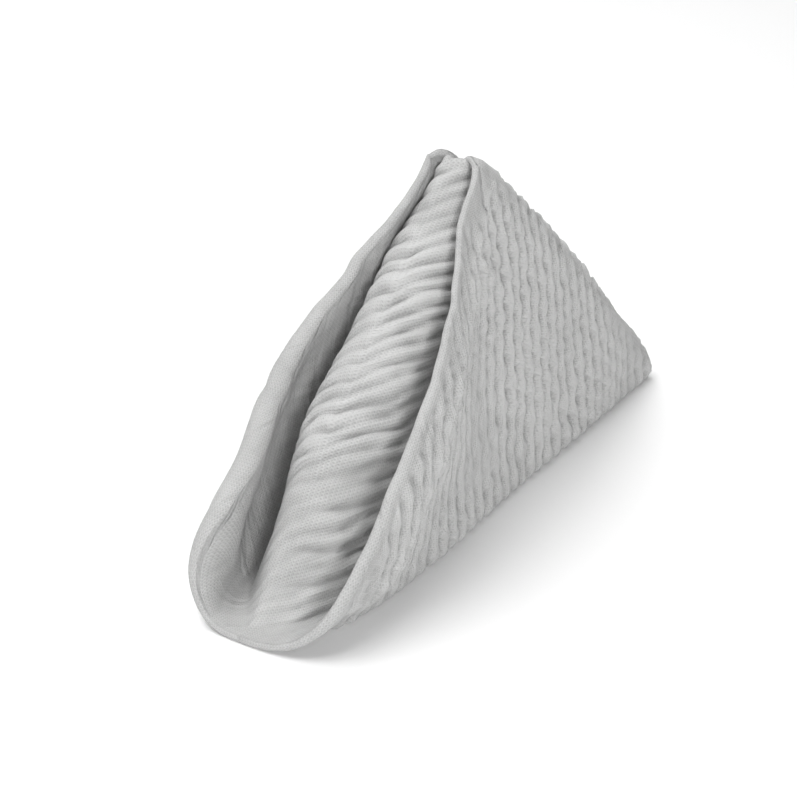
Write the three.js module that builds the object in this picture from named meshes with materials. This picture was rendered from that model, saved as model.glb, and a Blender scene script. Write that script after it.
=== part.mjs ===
// A square double-gauze muslin cloth, folded into a standing pyramid.
//
// The cloth is folded corner to corner, both end corners are brought up to the
// top corner, the top is folded back behind, and the whole is creased along its
// middle, so that it stands on its two long edges. The front shows the round
// middle ridge between two soft flaps, which meet in a low lip on the table.
//
// Frame: millimetres, +Z up, the lip towards -Y, the open back towards +Y and
// the two halves at +X and -X. The origin is the middle of the box, on the table.
//
// Everything is worked out on one mid-surface, that of the cloth folded double.
// The cloth itself is two sheets, one on each side of it, joined in a roll along
// the diagonal where it was first folded.

import * as THREE from 'three';

// Driving sizes.

const CLOTH_SIDE = 450;          // edge of the square cloth, laid flat
const SHEET = 1.0;               // thickness of one layer of double gauze
const PITCH = 1.3;               // from one layer to the next
const LEG = CLOTH_SIDE / (2 * Math.SQRT2);   // lip to apex, and apex to heel
const BASE_LINE = CLOTH_SIDE / 2;            // lip to heel along the table
const APEX_SLICE = LEG / Math.SQRT2;         // base length that lies under the apex

const LIP_SPREAD = 21.5;          // half-width of the base just behind the lip
const HEEL_SPREAD = 15.3;        // half-width of the base at the heels
const LIP_TURN = 31;             // base length in which the creases turn rearwards
const LIP_TURN_POWER = 1.8;      // how late and how tightly they do so
const LIP_ANGLE = 45;            // degrees in plan at which they leave the lip
const LIP_RISE = 51;             // base length in which the flaps stand up
const FLAP_OPEN = 77;            // degrees to which the open flaps stand up
const FLAP_CURL = 28;            // degrees that a flap leans in near its roll
const CURL_BAND = 26;            // height of the band in which it does so
const FLAP_CLOSE = { from: 0.3, to: 0.92 };    // parts of the apex slice in which it closes
const RIDGE_RADIUS = 6.9;        // round top of the middle ridge, at the apex
const RIDGE_SWELL = 14;          // growth of that radius towards the lip
const RIDGE_SWELL_POWER = 0.6;   // how soon it grows
const RIDGE_SHARE = 0.45;        // most of a slice that the round top takes
const ROUND_LENGTH = 1.33;       // cloth in half of a round top, by its radius
const RIDGE_LIFT = 5;            // how much the full ridge stands up at mid-length
const RIDGE_LIFT_POWER = 2;      // how much of that is left to its top
const APEX_LIFT = 2.4;           // how much it stands up at the apex
const APEX_LIFT_POWER = 6;
const ROLL_SWELL = 1.5;          // how much a flap's roll is rounder than its sheets need
const ROLL_FADE = 5;             // depth below the roll in which that fades
const SWELL_START = { from: 14, to: 38 };      // base length in which it sets in
const SWELL_END = { from: 0.35, to: 0.8 };     // and goes, as parts of the apex slice
const STRIP = 0.8;               // half-width of the flat strip on the table
const CREASE_SOFT = 8;           // extra crease radius, right at the lip
const CREASE_FADE = 16;          // base length in which that fades
const TUCK = 34;                 // how far the inner corner ends behind the lip
const INNER_ROLL = 8;            // depth of the inner rolls below the ridge

const HALF_TURN = Math.PI;
const QUARTER_TURN = Math.PI / 2;
const STEEPEST = QUARTER_TURN * 1.1;

// Divisions of the mesh.
const ROWS = 18;                 // lip to fold at the back
const INNER_ROWS = 7;            // the same on the tucked half
const FLAP_COLUMNS = 7;
const SIDE_COLUMNS = 5;
const RIDGE_COLUMNS = 4;
const CREASE_COLUMNS = 3;
const CREASE_SHARE = 0.35;       // most of a short row that the crease takes
const STRIP_SHARE = 0.15;        // most of it that the flat strip takes
const MAIN_TURNS = 4;            // steps around the back fold, inner cloth
const FLAP_TURNS = 5;            // the same, outer cloth
const ROLL_STEPS = 4;
const ROW_CROWDING = 1.2;        // how much closer the rows stand at the lip

// Steps of the sums along the creases and up the slices.
const CREASE_STEP = 0.5;
const WALK_STEP = 1.2;
const FEWEST_STEPS = 6;
const HALVINGS = 40;
const NORMAL_STEP = 0.05;
const TINY = 1e-6;
const SAME = 1e-4;               // places closer than this are one

const radians = THREE.MathUtils.degToRad;
const { lerp, clamp } = THREE.MathUtils;
const smooth = (t) => THREE.MathUtils.smoothstep(t, 0, 1);
const eased = (value, { from, to }) => smooth((value - from) / (to - from));

// Plan angle of the base crease, from +Y, at a base length from the lip: it
// leaves the lip at 45 degrees and then runs rearwards, slightly inwards.
const INWARD = Math.asin((LIP_SPREAD - HEEL_SPREAD) / (BASE_LINE - 2 * LIP_TURN));

function creaseAngle(along) {
  const fading = Math.exp(-Math.pow(along / LIP_TURN, LIP_TURN_POWER));
  return (radians(LIP_ANGLE) + INWARD) * fading - INWARD;
}

const creasePath = [new THREE.Vector2(0, 0)];
for (let along = 0; along < BASE_LINE + 4; along += CREASE_STEP) {
  const angle = creaseAngle(along + CREASE_STEP / 2);
  const last = creasePath[creasePath.length - 1];
  creasePath.push(new THREE.Vector2(
    last.x + CREASE_STEP * Math.sin(angle), last.y + CREASE_STEP * Math.cos(angle)));
}

function creasePoint(along) {
  const place = clamp(along / CREASE_STEP, 0, creasePath.length - 1 - TINY);
  const index = Math.floor(place);
  return creasePath[index].clone().lerp(creasePath[index + 1], place - index);
}

// Softness of the crease: its radius is one pitch, and more right at the lip.
const creaseRadius = (along) => PITCH + CREASE_SOFT * Math.exp(-along / CREASE_FADE);

// Cloth from the flat strip up to where the slice has turned to a steepness.
const creaseTurn = (along, up, steep) =>
  clamp((up - STRIP) / creaseRadius(along), 0, Math.max(steep, 0));

// Cloth below the ridge line that its round top takes, square to that line.
function ridgeHalf(along) {
  const fromApex = clamp(1 - along / APEX_SLICE, 0, 1);
  return ROUND_LENGTH * (RIDGE_RADIUS + RIDGE_SWELL * Math.pow(fromApex, RIDGE_SWELL_POWER));
}

// The same, measured up the slice.
const ridgeBand = (along) => Math.min(ridgeHalf(along) * Math.SQRT2, RIDGE_SHARE * along);

function mainHeading(along, up, steep) {
  const belowRidge = (along - up) / Math.max(ridgeBand(along), TINY);
  const round = Math.sin(QUARTER_TURN * clamp(belowRidge, 0, 1));
  return creaseTurn(along, up, steep) * round;
}

// Walks up a slice and returns how far it has gone sideways and upwards.
function walk(heading, up) {
  const steps = Math.ceil(up / WALK_STEP) + FEWEST_STEPS;
  let side = 0;
  let height = 0;
  for (let step = 0; step < steps; step++) {
    const angle = heading(up * (step + 0.5) / steps);
    side += Math.cos(angle) * up / steps;
    height += Math.sin(angle) * up / steps;
  }
  return { side, height };
}

// Steepness with which the inner cloth rises from the crease to meet its mirror
// image in the middle plane.
const steepnessKnown = new Map();

function mainSteepness(along) {
  const key = Math.round(along / SAME);
  if (!steepnessKnown.has(key)) {
    const reach = creasePoint(along).x / Math.cos(creaseAngle(along));
    let low = 0;
    let high = STEEPEST;
    for (let turn = 0; turn < HALVINGS; turn++) {
      const middle = (low + high) / 2;
      const { side } = walk((up) => mainHeading(along, up, middle), along);
      if (side > reach) low = middle;
      else high = middle;
    }
    steepnessKnown.set(key, (low + high) / 2);
  }
  return steepnessKnown.get(key);
}

// The flap stands up behind the lip and closes onto the inner cloth at the apex.
function flapSteepness(along) {
  const closed = HALF_TURN - mainSteepness(along);
  const open = radians(FLAP_OPEN) * Math.sin(QUARTER_TURN * smooth(along / LIP_RISE));
  const closing = eased(along / APEX_SLICE, FLAP_CLOSE);
  return lerp(Math.min(open, closed), closed, closing);
}

function flapHeading(along, up) {
  const belowRoll = along - up;
  const curl = radians(FLAP_CURL) * (1 - Math.pow(clamp(along / APEX_SLICE, 0, 1), 2))
    * smooth(along / LIP_RISE);
  return creaseTurn(along, up, flapSteepness(along))
    + curl * smooth(1 - belowRoll / CURL_BAND);
}

const MID_HEIGHT = (PITCH + SHEET) / 2;   // the lower sheet touches the table

function place(along, side, height) {
  const crease = creasePoint(along);
  const angle = creaseAngle(along);
  return new THREE.Vector3(
    crease.x + side * Math.cos(angle), crease.y - side * Math.sin(angle), MID_HEIGHT + height);
}

// The ridge stands a little fuller than its cloth would by itself.
function ridgeLift(along, up) {
  const length = clamp(along / APEX_SLICE, 0, 1);
  const share = up / Math.max(along, TINY);
  return RIDGE_LIFT * Math.sin(HALF_TURN * length) * Math.pow(share, RIDGE_LIFT_POWER)
    + APEX_LIFT * smooth(length) * Math.pow(share, APEX_LIFT_POWER);
}

// The two sheets stand apart in the roll of an open flap, off the table.
function rollSwell(depth, along) {
  const begun = eased(along, SWELL_START);
  const gone = eased(along / APEX_SLICE, SWELL_END);
  return ROLL_SWELL * begun * (1 - gone) * Math.exp(-Math.pow(depth / ROLL_FADE, 2));
}

const surfaces = {
  flap(along, up) {
    const { side, height } = walk((at) => flapHeading(along, at), up);
    return place(along, side, height);
  },
  main(along, up) {
    const steep = mainSteepness(along);
    const { side, height } = walk((at) => mainHeading(along, at, steep), up);
    return place(along, -side, height + ridgeLift(along, up));
  },
  straight(along, up) {
    const steep = mainSteepness(along);
    const { side, height } = walk((at) => creaseTurn(along, at, steep), up);
    return place(along, -side, height);
  },
};

// A point of a surface with its normal, which points into the pocket: up at the
// lip, inwards on the flap and outwards on the inner cloth.
function sample(name, depth, run) {
  const along = (run + depth) / Math.SQRT2;
  const up = (run - depth) / Math.SQRT2;
  if (run < TINY) {
    return { at: surfaces.main(0, 0), normal: new THREE.Vector3(0, 0, 1) };
  }
  const surface = surfaces[name];
  const at = surface(along, up);
  const rise = surface(along, up + NORMAL_STEP)
    .sub(surface(along, Math.max(up - NORMAL_STEP, 0)));
  const onward = surface(along + NORMAL_STEP, up)
    .sub(surface(Math.max(along - NORMAL_STEP, 0), up));
  const normal = name === 'flap'
    ? new THREE.Vector3().crossVectors(rise, onward)
    : new THREE.Vector3().crossVectors(onward, rise);
  if (name === 'main' && depth < TINY) {
    normal.x = 0;
    at.x = 0;
  }
  const swell = name === 'flap' ? rollSwell(depth, along) : 0;
  return { at, normal: normal.normalize(), swell };
}

const shifted = (point, distance) => ({
  at: point.at.clone().addScaledVector(point.normal, distance),
  normal: point.normal,
});

// Depths below the front line (or heights above the crease) of a row's columns.
function creaseColumns(run, steep) {
  const turned = STRIP + PITCH * steep;
  const top = Math.min(turned * Math.SQRT2, CREASE_SHARE * run);
  const flat = Math.min(STRIP * Math.SQRT2, STRIP_SHARE * run);
  const depths = [run, run - flat];
  for (let column = 1; column <= CREASE_COLUMNS; column++) {
    depths.push(run - lerp(flat, top, column / CREASE_COLUMNS));
  }
  return depths;
}

function evenColumns(from, to, count) {
  return Array.from({ length: count }, (_, column) => lerp(from, to, (column + 1) / count));
}

function mainColumns(hem, run) {
  const ridge = Math.min(ridgeHalf(run / Math.SQRT2), RIDGE_SHARE * hem);
  return [hem, ...evenColumns(hem, ridge, SIDE_COLUMNS), ...evenColumns(ridge, 0, RIDGE_COLUMNS)];
}

// Rows run from the lip to the fold at the back, closer together at the lip.
const rowRun = (row) => LEG * Math.pow(row / ROWS, ROW_CROWDING);
const innerRun = (row) => lerp(TUCK, LEG, row / INNER_ROWS);

// One row of the half on the table, from the flap's roll down to the crease and
// up again to the ridge.
function outerRow(row) {
  const run = rowRun(row);
  const along = run * Math.SQRT2;
  const flapCrease = creaseColumns(run, flapSteepness(along));
  const mainCrease = creaseColumns(run, mainSteepness(along));
  const flapFoot = flapCrease[flapCrease.length - 1];
  const mainFoot = mainCrease[mainCrease.length - 1];
  const flap = [0, ...evenColumns(0, flapFoot, FLAP_COLUMNS)];
  flap.push(...flapCrease.reverse().slice(1));
  const main = [...mainCrease.slice(1), ...mainColumns(mainFoot, run).slice(1)];
  return [
    ...flap.map((depth) => sample('flap', depth, run)),
    ...main.map((depth) => sample('main', depth, run)),
  ];
}

const CREASE_SPAN = CREASE_COLUMNS + 1;

const outerRows = Array.from({ length: ROWS + 1 }, (_, row) => outerRow(row));
const lastCrease = creaseColumns(LEG, mainSteepness(BASE_LINE));
const HEEL_DEPTH = lastCrease[lastCrease.length - 1];

// Rows of the tucked half: the inner cloth passes under the ridge, and the flap
// lies inside it with a roll of its own.
function tuckedMainRow(row) {
  const run = innerRun(row);
  const hem = HEEL_DEPTH * row / INNER_ROWS;
  return mainColumns(hem, run).map((depth) => shifted(sample('main', depth, run), -2 * PITCH));
}

function tuckedFlapRow(row) {
  const run = innerRun(row);
  const hem = lerp(INNER_ROLL, HEEL_DEPTH, row / INNER_ROWS);
  const depths = [INNER_ROLL, ...evenColumns(INNER_ROLL, hem, FLAP_COLUMNS)];
  return depths.map((depth) => shifted(sample('straight', depth, run), -4 * PITCH));
}

// The rows around the fold at the back, from one row to the row that lies on the
// other side of the fold. The mid-surface turns at a radius about a line between
// them, and facing is 1 where the normals point out of that turn, or -1.
function backTurn(from, to, radius, facing, turns) {
  const turnRow = (turn) => from.map((start, column) => {
    const angle = HALF_TURN * turn / turns;
    const end = to[column];
    const edge = from[Math.min(column + 1, from.length - 1)].at.clone()
      .sub(from[Math.max(column - 1, 0)].at);
    const out = new THREE.Vector3().crossVectors(edge, start.normal);
    if (start.at.x === 0) out.x = 0;
    out.normalize();
    if (out.y + out.z < 0) out.negate();
    const half = start.at.clone().sub(end.at).multiplyScalar(0.5);
    const at = start.at.clone().add(end.at).multiplyScalar(0.5)
      .addScaledVector(half, Math.cos(angle))
      .addScaledVector(out, radius * Math.sin(angle));
    const normal = half.normalize().multiplyScalar(facing * Math.cos(angle))
      .addScaledVector(out, facing * Math.sin(angle)).normalize();
    return { at, normal };
  });
  const between = Array.from({ length: turns - 1 }, (_, turn) => turnRow(turn + 1));
  return [from, ...between, to];
}

// Small leans and waves by hand, which leave the table plane as it is: how far a
// place moves, and the lengths over which that changes.
const LEAN = { size: 1.4, y: 44, start: 0.4 };
const SWAY = { size: 1.0, x: 16, z: 34 };
const RIPPLE = { size: 0.4, y: 26, z: 17 };
const STRETCH = { size: 0.008, y: 23, x: 30 };

function uneven({ x, y, z }) {
  const rise = z / LEG;
  return new THREE.Vector3(
    x + LEAN.size * rise * Math.sin(y / LEAN.y + LEAN.start)
      + RIPPLE.size * Math.sin(y / RIPPLE.y + z / RIPPLE.z),
    y + SWAY.size * rise * Math.sin(x / SWAY.x + z / SWAY.z),
    z * (1 + STRETCH.size * Math.sin(y / STRETCH.y + x / STRETCH.x)));
}

// The solid's corners and faces, joined wherever two corners fall together.
const corners = [];
const faces = [];
const cornerKnown = new Map();

function corner(point) {
  const placed = uneven(point);
  const key = placed.toArray().map((value) => Math.round(value / SAME)).join(' ');
  if (!cornerKnown.has(key)) {
    cornerKnown.set(key, corners.length / 3);
    corners.push(...placed.toArray());
  }
  return cornerKnown.get(key);
}

function triangle(a, b, c) {
  if (a !== b && b !== c && c !== a) faces.push(a, b, c);
}

function quad(points, flip) {
  const [a, b, c, d] = points.map(corner);
  if (flip) {
    triangle(a, c, b);
    triangle(a, d, c);
  } else {
    triangle(a, b, c);
    triangle(a, c, d);
  }
}

const FACE_OFFSETS = [
  { offset: (PITCH + SHEET) / 2, outward: true },
  { offset: (PITCH - SHEET) / 2, outward: false },
  { offset: -(PITCH - SHEET) / 2, outward: true },
  { offset: -(PITCH + SHEET) / 2, outward: false },
];

const offsetPoint = ({ at, normal, swell = 0 }, offset) =>
  at.clone().addScaledVector(normal, offset + Math.sign(offset) * swell);

// The four faces of the two sheets over a strip between two rows.
function strip(rowA, rowB, flip) {
  for (const { offset, outward } of FACE_OFFSETS) {
    for (let column = 0; column + 1 < rowA.length; column++) {
      quad([
        offsetPoint(rowA[column], offset), offsetPoint(rowB[column], offset),
        offsetPoint(rowB[column + 1], offset), offsetPoint(rowA[column + 1], offset),
      ], outward === flip);
    }
  }
}

// The roll that joins the two sheets along the first fold.
function roll(chain, inside, flip) {
  const rims = chain.map((point, index) => {
    const before = chain[Math.max(index - 1, 0)].at;
    const after = chain[Math.min(index + 1, chain.length - 1)].at;
    const out = new THREE.Vector3().crossVectors(after.clone().sub(before), point.normal)
      .normalize();
    if (index > 0 && out.dot(point.at.clone().sub(inside[index].at)) < 0) out.negate();
    if (index === 0) out.set(0, -1, 0);
    const outer = Array.from({ length: ROLL_STEPS + 1 }, (_, step) => {
      const angle = HALF_TURN * step / ROLL_STEPS;
      const radius = (PITCH + SHEET) / 2 + (point.swell ?? 0);
      return point.at.clone().addScaledVector(point.normal, radius * Math.cos(angle))
        .addScaledVector(out, radius * Math.sin(angle));
    });
    const inner = [offsetPoint(point, (PITCH - SHEET) / 2), offsetPoint(point, -(PITCH - SHEET) / 2)];
    return { outer, inner };
  });
  for (let index = 0; index + 1 < rims.length; index++) {
    const here = rims[index];
    const next = rims[index + 1];
    for (let step = 0; step < ROLL_STEPS; step++) {
      quad([here.outer[step], here.outer[step + 1], next.outer[step + 1], next.outer[step]], flip);
    }
    quad([here.inner[0], next.inner[0], next.inner[1], here.inner[1]], flip);
  }
  const { outer, inner } = rims[rims.length - 1];
  for (let step = 0; step < ROLL_STEPS; step++) {
    quad([outer[step], outer[step + 1], inner[1], inner[1]], flip);
  }
  quad([outer[0], inner[1], inner[0], inner[0]], flip);
}

// The cut edge of both sheets along a hem.
function hem(chain, flip) {
  for (let index = 0; index + 1 < chain.length; index++) {
    const here = chain[index];
    const next = chain[index + 1];
    for (const [high, low] of [[0, 1], [2, 3]]) {
      const top = FACE_OFFSETS[high].offset;
      const bottom = FACE_OFFSETS[low].offset;
      quad([offsetPoint(here, top), offsetPoint(here, bottom),
        offsetPoint(next, bottom), offsetPoint(next, top)], flip);
    }
  }
}

const mirrored = ({ at, normal, swell }) => ({
  at: at.clone().setX(-at.x),
  normal: normal.clone().setX(-normal.x),
  swell,
});

// Rows of the right half, in the order in which the cloth runs.
const outerLast = outerRows[ROWS];
const flapLast = outerLast.slice(0, FLAP_COLUMNS + 1);
const mainLast = outerLast.slice(FLAP_COLUMNS + 1 + 2 * CREASE_SPAN - 1);
const tuckedMain = Array.from({ length: INNER_ROWS + 1 }, (_, row) => tuckedMainRow(INNER_ROWS - row));
const tuckedFlap = Array.from({ length: INNER_ROWS + 1 }, (_, row) => tuckedFlapRow(INNER_ROWS - row));

const flipNormals = (row) => row.map(({ at, normal }) => ({ at, normal: normal.clone().negate() }));
const mainTail = [
  ...backTurn(mainLast, flipNormals(tuckedMain[0]), PITCH, 1, MAIN_TURNS),
  ...tuckedMain.slice(1).map(flipNormals),
];
const flapTail = [
  ...backTurn(flapLast, tuckedFlap[0], 3 * PITCH, -1, FLAP_TURNS),
  ...tuckedFlap.slice(1),
];

function build(reflect) {
  const turned = (row) => (reflect ? row.map(mirrored) : row);
  const outer = outerRows.map(turned);
  const mains = mainTail.map(turned);
  const flaps = flapTail.map(turned);
  for (let row = 0; row < ROWS; row++) strip(outer[row], outer[row + 1], reflect);
  for (let row = 0; row + 1 < mains.length; row++) strip(mains[row], mains[row + 1], reflect);
  for (let row = 0; row + 1 < flaps.length; row++) strip(flaps[row], flaps[row + 1], reflect);
  const rollRows = [...outer, ...flaps.slice(1)];
  roll(rollRows.map((row) => row[0]), rollRows.map((row) => row[1]), reflect);
  const heel = outer[ROWS].slice(FLAP_COLUMNS, FLAP_COLUMNS + 2 * CREASE_SPAN + 1);
  hem([
    ...flaps.slice(1).reverse().map((row) => row[FLAP_COLUMNS]), ...heel,
    ...mains.slice(1).map((row) => row[0]),
  ], reflect);
}

build(false);
build(true);

const geometry = new THREE.BufferGeometry();
geometry.setAttribute('position', new THREE.Float32BufferAttribute(corners, 3));
geometry.setIndex(faces);
geometry.computeBoundingBox();
const box = geometry.boundingBox;
geometry.translate(-(box.min.x + box.max.x) / 2, -(box.min.y + box.max.y) / 2, -box.min.z);
geometry.computeVertexNormals();

const cloth = new THREE.Mesh(geometry, new THREE.MeshStandardMaterial({
  color: 0xd3d3d2, roughness: 0.95, metalness: 0, side: THREE.DoubleSide,
}));
cloth.name = 'muslin_cloth';

const part = new THREE.Group();
part.name = 'folded_muslin_cloth';
part.add(cloth);

export default part;
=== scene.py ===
"""A muslin cloth folded into a standing pyramid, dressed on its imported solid.

The cloth is one closed sheet of crinkled double gauze. It follows the folds of
the solid: a round lip on the table, a soft flap on each side, the full middle
ridge between them, and the half that is turned back inside. The fold is worked
out on the mid-surface of the cloth folded double, in millimetres, and the sheet
is laid on both sides of it with its wrinkles and crinkle puffs.
"""

import logging
import math
from collections.abc import Callable
from dataclasses import dataclass, field
from enum import Enum

import bmesh
import bpy
import numpy as np
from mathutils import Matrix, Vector


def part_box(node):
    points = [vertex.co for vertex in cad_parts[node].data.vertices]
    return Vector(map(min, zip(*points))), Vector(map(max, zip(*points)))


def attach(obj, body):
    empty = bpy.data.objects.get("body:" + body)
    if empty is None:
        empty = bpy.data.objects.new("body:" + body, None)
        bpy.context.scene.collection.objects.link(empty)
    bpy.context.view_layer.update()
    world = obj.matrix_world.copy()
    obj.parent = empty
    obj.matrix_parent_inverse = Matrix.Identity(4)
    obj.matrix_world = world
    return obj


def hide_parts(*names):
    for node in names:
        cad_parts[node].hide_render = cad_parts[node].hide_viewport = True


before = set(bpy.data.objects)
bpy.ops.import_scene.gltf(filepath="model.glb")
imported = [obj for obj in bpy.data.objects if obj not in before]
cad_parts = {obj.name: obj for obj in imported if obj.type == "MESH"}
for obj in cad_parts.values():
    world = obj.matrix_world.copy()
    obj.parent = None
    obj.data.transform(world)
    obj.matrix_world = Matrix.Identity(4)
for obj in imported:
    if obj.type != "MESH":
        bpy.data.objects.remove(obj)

LOG = logging.getLogger("muslin")
Socket = bpy.types.NodeSocket
MILLIMETRE = 0.001
CLOTH_NODE = "muslin_cloth"
PHOTO_WIDTH = 797
POCKET_FACE = 0
OUTER_FACE = 3
FACES = range(4)
INNER_SHEET = (0, 1)
ROOT_TWO = math.sqrt(2.0)
QUARTER_TURN = math.pi / 2.0

Array = np.ndarray
Heading = Callable[[Array, Array], Array]


def smooth(value: Array) -> Array:
    """Eases a value from 0 to 1.

    Args:
        value: any numbers; below 0 counts as 0 and above 1 as 1.

    Returns:
        The eased values.
    """
    held = np.clip(value, 0.0, 1.0)
    return held * held * (3.0 - 2.0 * held)


def ramp(value: Array, start: float, end: float) -> Array:
    """Eases from 0, where the value is at the start, to 1, where it is at the end."""
    return smooth((value - start) / (end - start))


def unit(vectors: Array) -> Array:
    """Scales vectors, on the last axis, to length one."""
    length = np.linalg.norm(vectors, axis=-1, keepdims=True)
    return vectors / np.maximum(length, 1e-12)


def spread(inside: Array, values: Array, empty: float) -> Array:
    """Lays values out on a grid.

    Args:
        inside: which places of the grid have a value.
        values: the values of those places, in order.
        empty: what stands in the other places.

    Returns:
        The whole grid.
    """
    grid = np.full((*inside.shape, *values.shape[1:]), empty, dtype=values.dtype)
    grid[inside] = values
    return grid


class Side(Enum):
    """The two halves of the folded cloth, by the sign of X."""

    RIGHT = 1
    LEFT = -1


class Part(Enum):
    """The four triangles of one half, in the order in which the cloth runs."""

    FLAP = "flap"
    RIDGE = "ridge"
    TUCKED_RIDGE = "tucked_ridge"
    TUCKED_FLAP = "tucked_flap"


@dataclass(frozen=True)
class FoldSizes:
    """Sizes of the folded cloth in millimetres: those of its solid, with softer rolls."""

    cloth_side: float = 450.0
    sheet: float = 1.0
    pitch: float = 1.3
    lip_spread: float = 21.5
    heel_spread: float = 15.3
    lip_turn: float = 31.0
    lip_angle: float = math.radians(45.0)
    lip_turn_power: float = 1.8
    lip_rise: float = 51.0
    flap_open: float = math.radians(77.0)
    flap_curl: float = math.radians(28.0)
    curl_band: float = 26.0
    closing: tuple[float, float] = (0.3, 0.92)
    ridge_radius: float = 6.9
    ridge_swell: float = 14.0
    ridge_swell_power: float = 0.6
    round_length: float = 1.33
    ridge_share: float = 0.45
    ridge_lift: float = 5.0
    ridge_lift_power: float = 2.0
    apex_lift: float = 2.4
    apex_lift_power: float = 6.0
    roll_swell: float = 0.9
    roll_fade: float = 10.0
    swell_start: tuple[float, float] = (4.0, 30.0)
    swell_end: tuple[float, float] = (0.35, 0.80)
    strip: float = 0.8
    crease_soft: float = 8.0
    crease_fade: float = 16.0
    tuck: float = 34.0
    inner_roll: float = 8.0

    @property
    def leg(self) -> float:
        """Length from the lip to the apex, and from the apex to the heel."""
        return self.cloth_side / (2.0 * ROOT_TWO)

    @property
    def base_line(self) -> float:
        """Length from the lip to the heel along the table."""
        return self.cloth_side / 2.0

    @property
    def apex_slice(self) -> float:
        """Base length that lies under the apex."""
        return self.leg / ROOT_TWO

    @property
    def inward(self) -> float:
        """Angle by which the base creases run inwards, to the heels."""
        return math.asin((self.lip_spread - self.heel_spread) / (self.base_line - 2.0 * self.lip_turn))

    @property
    def mid_height(self) -> float:
        """Height of the mid-surface where the lower sheet lies on the table."""
        return (self.pitch + self.sheet) / 2.0

    @property
    def offsets(self) -> tuple[float, float, float, float]:
        """Distances of the four faces of the two sheets from the mid-surface."""
        outer = (self.pitch + self.sheet) / 2.0
        inner = (self.pitch - self.sheet) / 2.0
        return outer, inner, -inner, -outer


class SoftNoise:
    """Smooth noise on a lattice, the same on every run."""

    def __init__(self, seed: int, size: int = 64) -> None:
        """Draws the lattice.

        Args:
            seed: number that fixes the draw.
            size: lattice points on a side before the noise repeats.
        """
        self.size = size
        self.values = np.random.default_rng(seed).random((size, size)) * 2.0 - 1.0

    def __call__(self, across: Array, down: Array) -> Array:
        """Reads the noise.

        Args:
            across: first coordinate, in lattice steps.
            down: second coordinate, in lattice steps.

        Returns:
            Values from -1 to 1.
        """
        column = np.floor(across)
        row = np.floor(down)
        u = smooth(across - column)
        v = smooth(down - row)
        column = column.astype(int) % self.size
        row = row.astype(int) % self.size
        right = (column + 1) % self.size
        below = (row + 1) % self.size
        top = self.values[row, column] * (1.0 - u) + self.values[row, right] * u
        bottom = self.values[below, column] * (1.0 - u) + self.values[below, right] * u
        return top * (1.0 - v) + bottom * v


@dataclass(frozen=True)
class Ripple:
    """One layer of soft noise, by its height and the size of its waves.

    Shift says from where on the lattice each direction is read.
    """

    height: float
    across: float
    down: float
    shift: tuple[float, float] = (0.0, 0.0)

    def at(self, noise: SoftNoise, across: Array, down: Array) -> Array:
        """Gives the noise at places of the flat cloth.

        Args:
            noise: the lattice that it is read from.
            across: places in the first direction.
            down: places in the second.

        Returns:
            Values up to the height, on both sides of 0.
        """
        return self.height * noise(across / self.across + self.shift[0], down / self.down + self.shift[1])


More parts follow.
